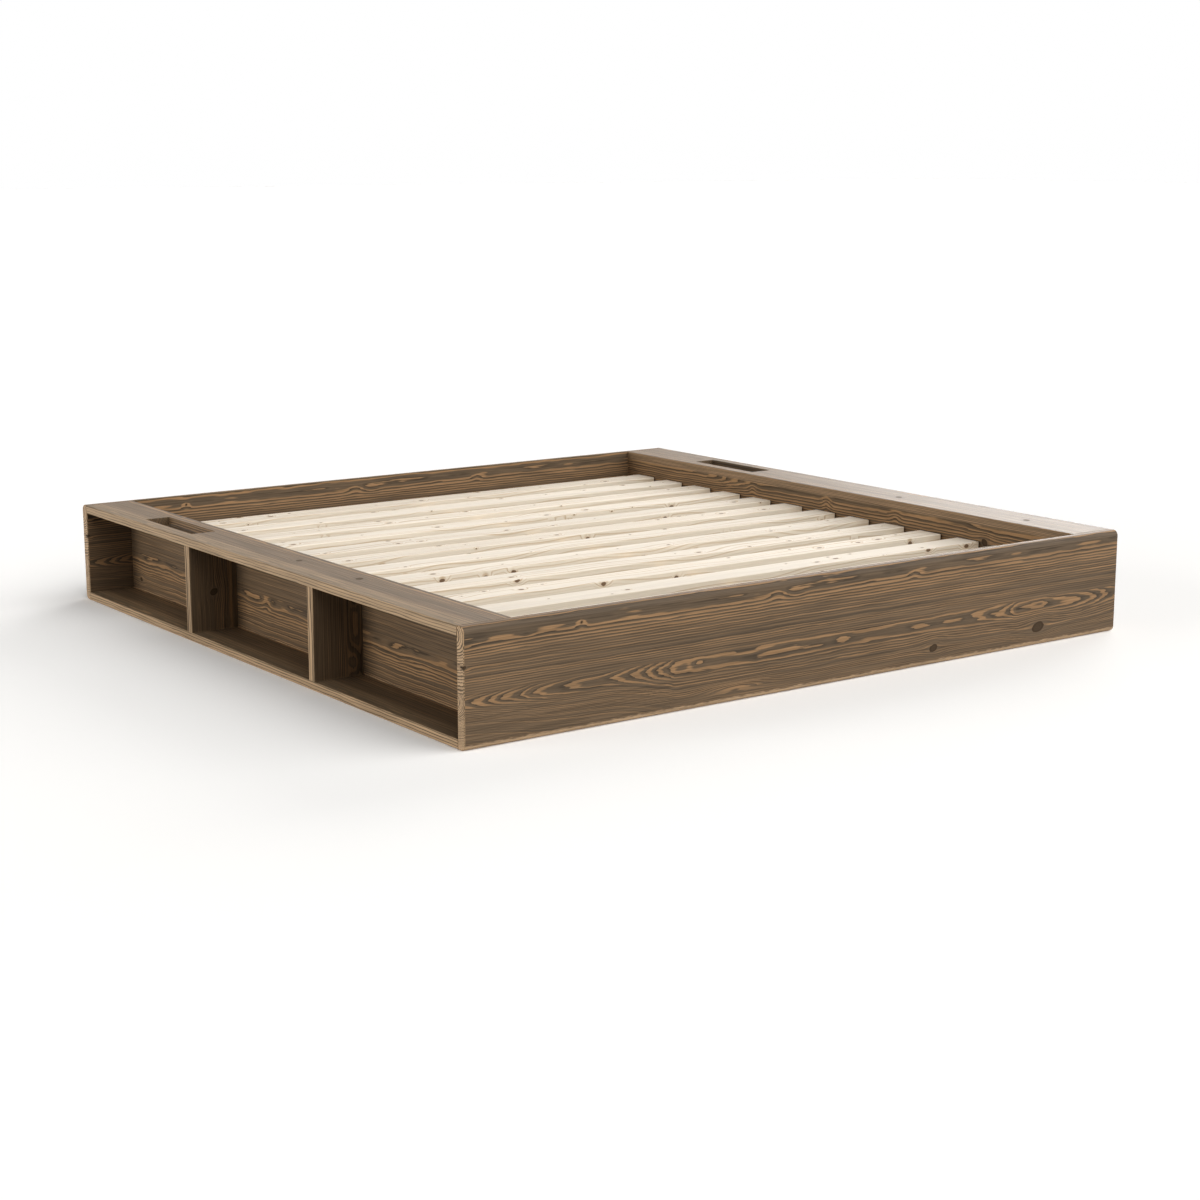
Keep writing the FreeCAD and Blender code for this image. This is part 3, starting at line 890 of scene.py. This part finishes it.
@dataclass
class EndBoards:
    """Head board and foot board, each glued up from two wide staves.

    Attributes:
        seam: Height of the glue line.
        upper_heart: Height of the upper stave's heart.
        lower_heart: Height of the lower stave's heart.
        pale_mark: Height of the painted highlight along the bottom, where the rounded edge catches light
            from the floor.
    """

    seam: float = 0.128
    upper_heart: float = 0.259
    lower_heart: float = 0.108
    pale_mark: float = 0.015

    def lower_stave(self) -> Stave:
        """The lower stave, whose flames follow the pith as it comes to the face and sinks again.

        Returns:
            The stave.
        """
        return Stave(
            top=self.seam,
            heart=self.lower_heart,
            drift=(
                (0.0, 11.1), (0.031, 9.8), (0.048, 8.8), (0.072, 7.8), (0.091, 6.8), (0.126, 5.8),
                (0.186, 4.8), (0.215, 3.8), (0.235, 2.8), (0.250, 1.8), (0.270, 0.8), (0.277, 0.3),
                (0.29, 0.1), (0.36, 0.05), (0.41, -0.20), (0.46, -0.30), (0.495, -0.05), (0.53, 0.10),
                (0.62, 0.10), (0.69, 0.0), (0.781, -1.2), (0.807, -2.2), (0.821, -3.2), (0.856, -3.6),
                (0.871, -3.2), (0.928, -2.2), (0.961, -1.2), (0.983, -0.2), (1.0, 0.3),
            ),
            pinch=0.10,
            flame=0.30,
            curl=0.40,
            sway=0.002,
            seed=1.0,
            swirls=(
                Swirl(0.625, 0.106, 0.012, 0.020, 0.22),
                Swirl(0.655, 0.112, 0.014, 0.008, -0.42),
                Swirl(0.770, 0.040, 0.100, 0.013, 3.20),
                Swirl(0.800, 0.118, 0.070, 0.008, 0.45),
                Swirl(1.105, 0.107, 0.030, 0.013, -0.48),
                Swirl(1.372, 0.106, 0.036, 0.013, -0.48),
                Swirl(1.550, 0.106, 0.040, 0.008, 0.40),
            ),
        )

    def upper_stave(self) -> Stave:
        """The upper stave, which has a row of small swirls along its heart.

        Returns:
            The stave.
        """
        return Stave(
            top=CAD_BOX[1].z,
            heart=self.upper_heart,
            depth=0.033,
            ring=0.0055,
            bold=1.2,
            reach=0.060,
            sway=0.003,
            flame=0.35,
            seed=2.0,
            swirls=(
                Swirl(0.000, 0.234, 0.110, 0.018, -0.90),
                Swirl(0.030, 0.238, 0.040, 0.006, 0.30),
                Swirl(0.095, 0.248, 0.036, 0.006, 0.50),
                Swirl(0.165, 0.244, 0.022, 0.007, -0.50),
                Swirl(0.220, 0.254, 0.060, 0.006, 0.45),
                Swirl(0.315, 0.248, 0.016, 0.013, 0.60),
                Swirl(0.470, 0.259, 0.045, 0.006, 0.50),
                Swirl(0.826, 0.257, 0.035, 0.008, 0.50),
                Swirl(0.893, 0.246, 0.028, 0.018, 0.85),
                Swirl(0.955, 0.244, 0.030, 0.012, -0.60),
                Swirl(1.345, 0.245, 0.022, 0.015, 0.75),
                Swirl(1.376, 0.257, 0.020, 0.006, 0.50),
                Swirl(1.710, 0.258, 0.035, 0.005, 0.50),
                Swirl(1.990, 0.258, 0.070, 0.005, 0.50),
            ),
        )

    def dress(self) -> None:
        """Stains both boards with one figure."""
        knots = (
            Knot(1.801, 0.050, 0.023, 0.014),
            Knot(1.418, 0.044, 0.014, 0.010),
            Knot(0.002, 0.190, 0.005, 0.004),
            Knot(0.315, 0.252, 0.003, 0.003),
        )
        staves = (self.lower_stave(), self.upper_stave())
        finish = StainedPine(
            Axis.X, Axis.Z, Axis.Y, Face.LOW, staves, knots,
            pale_mark=self.pale_mark, sheen=0.17, rubbed=1.0, relief=0.05,
        )
        for node in ("headboard", "footboard"):
            finish.dress(node)
            LOG.info("stained %s", node)


@dataclass
class SideCase:
    """One open shelf case: top, bottom, back and two dividers.

    Attributes:
        side: Left or right.
        seed: Start of its chances.
        lipping: Width of the paler outer stave of each shelf.
        edge_heart: Distance of that stave's heart from the open side.
        inside_sheen: Level of the shine on the boards inside.
    """

    side: str
    seed: float
    lipping: float = 0.049
    edge_heart: float = 0.014
    inside_sheen: float = 0.08

    @property
    def is_left(self) -> bool:
        """Whether this is the left-hand case."""
        return self.side == SIDES[0]

    @property
    def lip(self) -> int:
        """Side across each board that is open: -1 low X, 1 high X."""
        return -1 if self.is_left else 1

    def dress(self) -> None:
        """Stains every board of the case."""
        self.dress_shelves()
        self.dress_back()
        self.dress_dividers()
        LOG.info("stained the %s case", self.side)

    def shelf_staves(self, seed: float, bold: float, pale: tuple[float, float]) -> tuple[Stave, ...]:
        """Staves of a shelf, with the paler one at the open side.

        Args:
            seed: Start of the shelf's chances.
            bold: Strength of its lines.
            pale: Share of washed-out tone in the outer stave and in the other, partly painted sheen on a
                top.

        Returns:
            The staves from low X to high X.
        """
        low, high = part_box(f"{self.side}_case_top")
        width = high.x - low.x
        edge = {"depth": 0.034, "ring": 0.0058, "bold": 0.6 * bold, "wave": 0.0036, "flame": 0.35}
        edge["pale"] = pale[0]
        plain = {"depth": 0.036, "bold": bold, "reach": 0.020, "flame": 0.6, "pale": pale[1]}
        if self.is_left:
            outer = Stave(self.lipping, self.edge_heart, seed=seed, **edge)
            return (outer, Stave(width, 0.142, seed=seed + 0.5, **plain))
        inner = Stave(width - self.lipping, 0.004, seed=seed, **plain)
        return (inner, Stave(width, width - self.edge_heart, seed=seed + 0.5, **edge))

    def dress_shelves(self) -> None:
        """Stains the top, which takes the light, is worn pale and is painted paler still as a sheen, and
        the bottom.
        """
        if self.is_left:
            knots = (Knot(0.582, 0.092, 0.012, 0.010), Knot(0.878, 0.087, 0.010, 0.009))
            pale, sheen, slot = (0.50, 0.13), 0.20, 0.0
        else:
            knots = (Knot(0.740, 0.060, 0.012, 0.010), Knot(0.232, 0.064, 0.012, 0.010))
            # Only the right top's slot walls get painted shade.
            pale, sheen, slot = (0.24, 0.17), 0.25, 0.6
        lying = (Axis.Y, Axis.X, Axis.Z, Face.HIGH)
        # On the tops the pale shares are partly wear and partly painted sheen.
        top = self.shelf_staves(self.seed, 1.1, pale)
        StainedPine(
            *lying, top, knots, self.lip, sheen=sheen, slot=slot, knot_tone=(0.080, 0.052, 0.030)
        ).dress(f"{self.side}_case_top")
        bottom = self.shelf_staves(self.seed + 1.0, 1.0, (0.30, 0.0))
        StainedPine(*lying, bottom, (), self.lip, sheen=self.inside_sheen).dress(f"{self.side}_case_bottom")

    def dress_back(self) -> None:
        """Stains the thin back, of two staves on the left and one on the right; the left one is stained
        paler as painted light.
        """
        low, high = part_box(f"{self.side}_case_back")
        height, seed, painted_light_tones = high.z - low.z, self.seed + 3.0, {}
        if self.is_left:
            knots = (Knot(1.953, 0.032, 0.008, 0.006),)
            swirls = (Swirl(1.160, 0.092, 0.026, 0.022, 1.0), Swirl(1.260, 0.099, 0.050, 0.010, -0.5))
            lower = Stave(
                0.113, 0.104, 0.045, 0.005, bold=1.25, reach=0.075, flame=0.9, curl=0.5, wave=0.0045,
                seed=seed, swirls=swirls,
            )
            staves = (lower, Stave(height, 0.330, 0.060, bold=0.8, flame=0.5, seed=seed + 1.0))
            # Painted light: the left back, seen through the open niches, gets a paler copy of the stain.
            painted_light_tones["early"], painted_light_tones["early_warm"] = (0.103, 0.071, 0.044), (0.136, 0.092, 0.055)
            painted_light_tones["late"] = (0.325, 0.190, 0.092)
        else:
            knots = (Knot(0.327, 0.186, 0.012, 0.010),)
            drift = (
                (0.0, 1.2), (0.14, -0.3), (0.22, 0.6), (0.5, 0.5), (0.66, 0.1), (0.72, -1.2), (0.80, -3.6),
                (1.0, -4.4),
            )
            swirls = (
                Swirl(0.690, 0.205, 0.020, 0.020, 0.9),
                Swirl(0.993, 0.205, 0.020, 0.026, 1.2),
                Swirl(1.345, 0.210, 0.018, 0.020, 0.9),
            )
            stave = Stave(
                height, 0.236, 0.038, 0.0058, bold=1.1, reach=0.09, drift=drift, flame=0.5,
                seed=seed, swirls=swirls,
            )
            staves = (stave,)
        standing = (Axis.Y, Axis.Z, Axis.X, Face.LOW)
        finish = StainedPine(*standing, staves, knots, sheen=self.inside_sheen, **painted_light_tones)
        finish.dress(f"{self.side}_case_back")

    def dress_dividers(self) -> None:
        """Stains the two dividers, whose grain stands upright."""
        if self.is_left:
            knots = ((), (Knot(0.105, 0.068, 0.010, 0.011),))
            swirls = (
                (Swirl(0.035, 0.112, 0.040, 0.016, 2.4), Swirl(0.195, 0.115, 0.025, 0.010, 1.8)),
                (Swirl(0.150, 0.022, 0.050, 0.010, 1.4), Swirl(0.070, 0.022, 0.030, 0.010, -1.2)),
            )
        else:
            knots = ((Knot(0.150, 0.060, 0.009, 0.010),), ())
            swirls = ((Swirl(0.060, 0.028, 0.030, 0.012, 1.6),), (Swirl(0.120, 0.030, 0.036, 0.014, 1.8),))
        upright = (Axis.Z, Axis.X, Axis.Y, Face.LOW)
        for i in range(2):
            node = f"{self.side}_divider_{i + 1}"
            low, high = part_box(node)
            width = high.x - low.x
            stave = Stave(
                width, 0.85 * width, 0.050, 0.003, bold=0.5, sway=0.002, wave=0.0008, flame=0.4, curl=0.15,
                seed=self.seed + 6.0 + i, swirls=swirls[i],
            )
            StainedPine(*upright, (stave,), knots[i], self.lip, sheen=self.inside_sheen).dress(node)


@dataclass
class SlatBase:
    """The slats, the ledges that carry them, and the beam and legs down the middle.

    Attributes:
        slat_count: Number of slats.
        rail_ring: Width of a year's ring in the ledges, the beam and the legs.
        beech_ring: Width of a year's ring in the tenons.
    """

    slat_count: int = 13
    rail_ring: float = 0.005
    beech_ring: float = 0.003

    def slat_nodes(self) -> list[str]:
        """Names of the slats from the head end."""
        return [f"slat_{number:02d}" for number in range(1, self.slat_count + 1)]

    def dress(self) -> None:
        """Gives the slats and the hidden timber their plain wood."""
        # The third tone of each wood is the painted shade on its long sides.
        pine = ((0.72, 0.58, 0.41), (0.56, 0.40, 0.24), (0.70, 0.55, 0.37))
        beech = ((0.64, 0.46, 0.31), (0.54, 0.36, 0.23), (0.63, 0.45, 0.30))
        slats = RawPine("slat_pine", Axis.X)
        rails = RawPine("rail_pine", Axis.Y, *pine, ring=self.rail_ring)
        legs = RawPine("leg_pine", Axis.Z, *pine, ring=self.rail_ring)
        tenons = RawPine("tenon_beech", Axis.Z, *beech, ring=self.beech_ring, knot_share=0.0)
        wear_nodes(slats.make(), *self.slat_nodes())
        wear_nodes(rails.make(), "left_slat_ledge", "right_slat_ledge", "centre_beam")
        wear_nodes(legs.make(), "centre_leg_1", "centre_leg_2")
        names = [f"{side}_{kind}_tenons" for side in SIDES for kind in ("divider", "shelf")]
        wear_nodes(tenons.make(), *names)
        LOG.info("dressed %d slats, the ledges, the beam, the legs and the tenons", self.slat_count)


@dataclass
class Fittings:
    """Steel, cast and plastic fittings that hold the bed together.

    Attributes:
        steel: Finish of the hangers, screws and bolts.
        cast: Finish of the cam locks.
        plastic: Finish of the glides.
    """

    steel: Metal = Metal("zinc_steel", (0.66, 0.67, 0.68), 0.28)
    cast: Metal = Metal("cast_zinc", (0.52, 0.52, 0.53), 0.42)
    plastic: MouldedPlastic = MouldedPlastic("glide_plastic", (0.020, 0.019, 0.018))

    def dress(self) -> None:
        """Gives each fitting its metal or plastic."""
        hangers = ("foot_beam_hanger", "head_beam_hanger", "hanger_screws")
        pairs = [f"{side}_{kind}" for side in SIDES for kind in ("ledge_screws", "cam_bolts")]
        wear_nodes(self.steel.make(), *hangers, *pairs)
        wear_nodes(self.cast.make(), *(f"{side}_cam_locks" for side in SIDES))
        wear_nodes(self.plastic.make(), "leg_glide_1", "leg_glide_2")
        LOG.info("dressed the fittings")


@dataclass
class SlatStrap:
    """A webbing band stapled under every slat, slack enough to dip between them.

    Attributes:
        side: Left or right.
        slats: Names of the slats it holds.
        thickness: Thickness of the band.
        dip: How far it hangs between two slats.
        steps: Lengths of mesh for each slat, and again for each gap.
        wire: Thickness of a staple's wire.
        wire_sides: Flat sides round the wire.
        crown: Width of a staple.
        staple_inset: Distance of each staple from its slat's edge.
    """

    side: str
    slats: list[str]
    thickness: float = 0.0012
    dip: float = 0.0012
    steps: int = 12
    wire: float = 0.0009
    wire_sides: int = 8
    crown: float = 0.012
    staple_inset: float = 0.022

    def drop(self, y: float, spans: list[tuple[float, float]]) -> float:
        """How far the band hangs below the slats at a place.

        Args:
            y: The place along the bed.
            spans: The gaps between slats.

        Returns:
            The drop.
        """
        for start, end in spans:
            if start < y < end:
                return self.dip * math.sin(math.pi * (y - start) / (end - start)) ** 2
        return 0.0

    def build(self, webbing: bpy.types.Material, steel: bpy.types.Material) -> None:
        """Makes the band and its staples.

        Args:
            webbing: The band's material.
            steel: The staples' material.
        """
        node = f"{self.side}_slat_strap"
        low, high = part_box(node)
        boxes = sorted((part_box(name) for name in self.slats), key=lambda box: box[0].y)
        under = boxes[0][0].z
        spans = [(a[1].y, b[0].y) for a, b in zip(boxes, boxes[1:])]
        band = self.ribbon(f"{self.side}_strap_band", low, high, under, spans)
        wear(band, webbing)
        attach(band, BODY)
        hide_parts(node)
        middle = (low.x + high.x) / 2
        staples = self.staples(f"{self.side}_strap_staples", middle, under - self.thickness, boxes)
        wear(staples, steel)
        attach(staples, BODY)
        LOG.info("made %s and %s", band.name, staples.name)

    def ribbon(self, name: str, low: Vector, high: Vector, under: float, spans: list) -> bpy.types.Object:
        """The band as a closed ribbon with softened edges.

        Args:
            name: The piece's name.
            low: Lowest corner of the band's space.
            high: Highest corner of the band's space.
            under: Height of the slats' undersides.
            spans: The gaps between slats.

        Returns:
            The band.
        """
        mesh = bmesh.new()
        soft = self.thickness / 3
        outline = [
            (low.x, -self.thickness / 2), (low.x + soft, -self.thickness), (high.x - soft, -self.thickness),
            (high.x, -self.thickness / 2), (high.x - soft, 0.0), (low.x + soft, 0.0),
        ]
        count = self.steps * len(self.slats) * 2
        rings = []
        for i in range(count + 1):
            y = low.y + (high.y - low.y) * i / count
            z = under - self.drop(y, spans)
            rings.append([mesh.verts.new((x, y, z + rise)) for x, rise in outline])
        loft(mesh, rings)
        return mesh_piece(name, mesh)

    def staples(self, name: str, x: float, z: float, boxes: list) -> bpy.types.Object:
        """Two wire staples under each slat, bent over at both ends.

        Args:
            name: The piece's name.
            x: Middle of the band.
            z: Height of the band's underside.
            boxes: The slats' boxes.

        Returns:
            The staples as one piece.
        """
        mesh = bmesh.new()
        half, bend = self.crown / 2, self.wire
        for low, high in boxes:
            for y in (low.y + self.staple_inset, high.y - self.staple_inset):
                path = [
                    (x - half, z + self.thickness / 2), (x - half + 0.3 * bend, z - 0.3 * bend),
                    (x - half + bend, z - bend / 2), (x + half - bend, z - bend / 2),
                    (x + half - 0.3 * bend, z - 0.3 * bend), (x + half, z + self.thickness / 2),
                ]
                self.wire_along(mesh, [Vector((place, y, height)) for place, height in path])
        return mesh_piece(name, mesh)

    def wire_along(self, mesh: bmesh.types.BMesh, path: list[Vector]) -> None:
        """Adds a round wire along points in the XZ plane.

        Args:
            mesh: The mesh that it is added to.
            path: Points of its middle line.
        """
        rings = []
        turns = [2 * math.pi * k / self.wire_sides for k in range(self.wire_sides)]
        out = Vector((0.0, 1.0, 0.0))
        for i, point in enumerate(path):
            ahead = path[min(i + 1, len(path) - 1)] - path[max(i - 1, 0)]
            up = Vector((-ahead.z, 0.0, ahead.x)).normalized()
            spokes = [(up * math.sin(t) + out * math.cos(t)) * self.wire / 2 for t in turns]
            rings.append([mesh.verts.new(point + spoke) for spoke in spokes])
        loft(mesh, rings)


def loft(mesh: bmesh.types.BMesh, rings: list[list[bmesh.types.BMVert]]) -> None:
    """Joins rings of points into a closed skin.

    Args:
        mesh: The mesh that the points belong to.
        rings: The rings in order, with as many points in each.
    """
    for first, second in zip(rings, rings[1:]):
        for i in range(len(first)):
            j = (i + 1) % len(first)
            mesh.faces.new((first[i], first[j], second[j], second[i]))
    mesh.faces.new(rings[0][::-1])
    mesh.faces.new(rings[-1])


def mesh_piece(name: str, mesh: bmesh.types.BMesh) -> bpy.types.Object:
    """A new piece from a finished mesh.

    Args:
        name: The piece's name.
        mesh: Its mesh, which is used up.

    Returns:
        The piece.
    """
    bmesh.ops.recalc_face_normals(mesh, faces=mesh.faces)
    data = bpy.data.meshes.new(name)
    mesh.to_mesh(data)
    mesh.free()
    piece = bpy.data.objects.new(name, data)
    bpy.context.scene.collection.objects.link(piece)
    return piece


# Studio


@dataclass(frozen=True)
class Lamp:
    """A broad, distant light.

    Attributes:
        name: The lamp's name.
        azimuth: Degrees round from the foot end, towards the right.
        elevation: Degrees above the floor.
        level: Light on a surface that faces it, where 1 shows a colour as written.
        spread: Degrees across.
        tint: Its colour.
    """

    name: str
    azimuth: float
    elevation: float
    level: float
    spread: float
    tint: Colour

    def hang(self) -> None:
        """Adds the lamp to the scene."""
        turn, rise = math.radians(self.azimuth), math.radians(self.elevation)
        flat = math.cos(rise)
        towards = Vector((math.sin(turn) * flat, -math.cos(turn) * flat, math.sin(rise)))
        data = bpy.data.lights.new(self.name, "SUN")
        data.energy = self.level * math.pi
        data.angle = math.radians(self.spread)
        data.color = self.tint
        lamp = bpy.data.objects.new(self.name, data)
        lamp.rotation_euler = towards.to_track_quat("Z", "Y").to_euler()
        bpy.context.scene.collection.objects.link(lamp)


@dataclass
class Studio:
    """Pale floor, soft light and the camera.

    Attributes:
        floor_reach: Half the floor's side.
        ambient: Level of the light from all round.
        bounce: Floor tone that lights the bed.
        floor_glow: What the floor that shows needs to be white away from the shadow.
        lamps: The lamps.
        lens: Length of the lens in millimetres, on a sensor of the width below.
        sensor: Width of the sensor in millimetres.
        view_end: How far the camera sees.
        camera_place: Where the camera stands.
        camera_tilt: Degrees up from looking straight down.
        camera_turn: Degrees round from looking along the bed.
    """

    floor_reach: float = 60.0
    ambient: float = 0.10
    bounce: float = 0.52
    floor_glow: float = 0.04
    lamps: tuple[Lamp, ...] = (
        Lamp("overhead_light", 28.0, 33.0, 1.20, 90.0, (1.0, 0.985, 0.96)),
        Lamp("window_light", -103.0, 6.0, 0.81, 36.0, (1.0, 0.985, 0.96)),
        Lamp("rim_light", 120.0, 12.0, 0.72, 36.0, (1.0, 0.985, 0.965)),
    )
    lens: float = 66.0
    sensor: float = 36.0
    view_end: float = 500.0
    camera_place: tuple[float, float, float] = (-3.5372, -4.9783, 1.3031)
    camera_tilt: float = 78.321
    camera_turn: float = -35.865

    def build(self) -> None:
        """Makes the floor, the world, the lamps and the camera."""
        self.lay_floor()
        self.light_world()
        for lamp in self.lamps:
            lamp.hang()
        self.set_camera()
        bpy.context.scene.view_settings.view_transform = "Standard"

    def seen(self, graph: Graph) -> Wire:
        """1 for rays that show the background, from the camera, a gloss or a glass.

        Args:
            graph: The graph of the floor's material or the world.

        Returns:
            The share.
        """
        rays = graph.node("ShaderNodeLightPath", {}).outputs
        names = ("Is Camera Ray", "Is Glossy Ray", "Is Transmission Ray")
        camera, gloss, glass = (Wire(graph, rays[name]) for name in names)
        return camera.most(gloss.most(glass))

    def lay_floor(self) -> None:
        """A plain pale floor that keeps the shadow."""
        mesh = bmesh.new()
        bmesh.ops.create_grid(mesh, x_segments=8, y_segments=8, size=self.floor_reach)
        floor = mesh_piece("floor", mesh)
        material, graph = new_material("pale_floor")
        shown = graph.output("ShaderNodeBsdfDiffuse", {"Color": WHITE})
        bounced = graph.output("ShaderNodeBsdfDiffuse", {"Color": (self.bounce,) * 3})
        glow = graph.output("ShaderNodeEmission", {"Strength": self.floor_glow})
        lit = graph.output("ShaderNodeAddShader", {0: shown, 1: glow})
        mixed = graph.output("ShaderNodeMixShader", {0: self.seen(graph), 1: bounced, 2: lit})
        graph.node("ShaderNodeOutputMaterial", {"Surface": mixed})
        wear(floor, material)

    def light_world(self) -> None:
        """White behind the bed, and a low even light all round."""
        world = bpy.data.worlds.new("studio")
        world.use_nodes = True
        bpy.context.scene.world = world
        graph = Graph(world.node_tree)
        low = graph.output("ShaderNodeBackground", {"Color": WHITE, "Strength": self.ambient})
        white = graph.output("ShaderNodeBackground", {"Color": WHITE, "Strength": 1.0})
        mixed = graph.output("ShaderNodeMixShader", {0: self.seen(graph), 1: low, 2: white})
        graph.node("ShaderNodeOutputWorld", {"Surface": mixed})

    def set_camera(self) -> None:
        """A long lens from the left of the foot end, a little above the bed."""
        data = bpy.data.cameras.new("camera")
        data.lens = self.lens
        data.sensor_width = self.sensor
        data.clip_end = self.view_end
        camera = bpy.data.objects.new("camera", data)
        camera.location = self.camera_place
        camera.rotation_euler = (math.radians(self.camera_tilt), 0.0, math.radians(self.camera_turn))
        bpy.context.scene.collection.objects.link(camera)
        bpy.context.scene.camera = camera


def main() -> None:
    """Dresses the bed and sets the studio."""
    logging.basicConfig(level=logging.INFO, format="%(name)s: %(message)s")
    Studio().build()
    EndBoards().dress()
    for number, side in enumerate(SIDES):
        SideCase(side, FIRST_SEED + SEED_STEP * number).dress()
    base = SlatBase()
    base.dress()
    Fittings().dress()
    webbing = Webbing("webbing", (0.70, 0.66, 0.57), (0.42, 0.38, 0.31), 0.0016).make()
    staple_steel = Metal("staple_steel", (0.62, 0.63, 0.64), 0.30).make()
    for side in SIDES:
        SlatStrap(side, base.slat_nodes()).build(webbing, staple_steel)


if __name__ == "__main__":
    main()
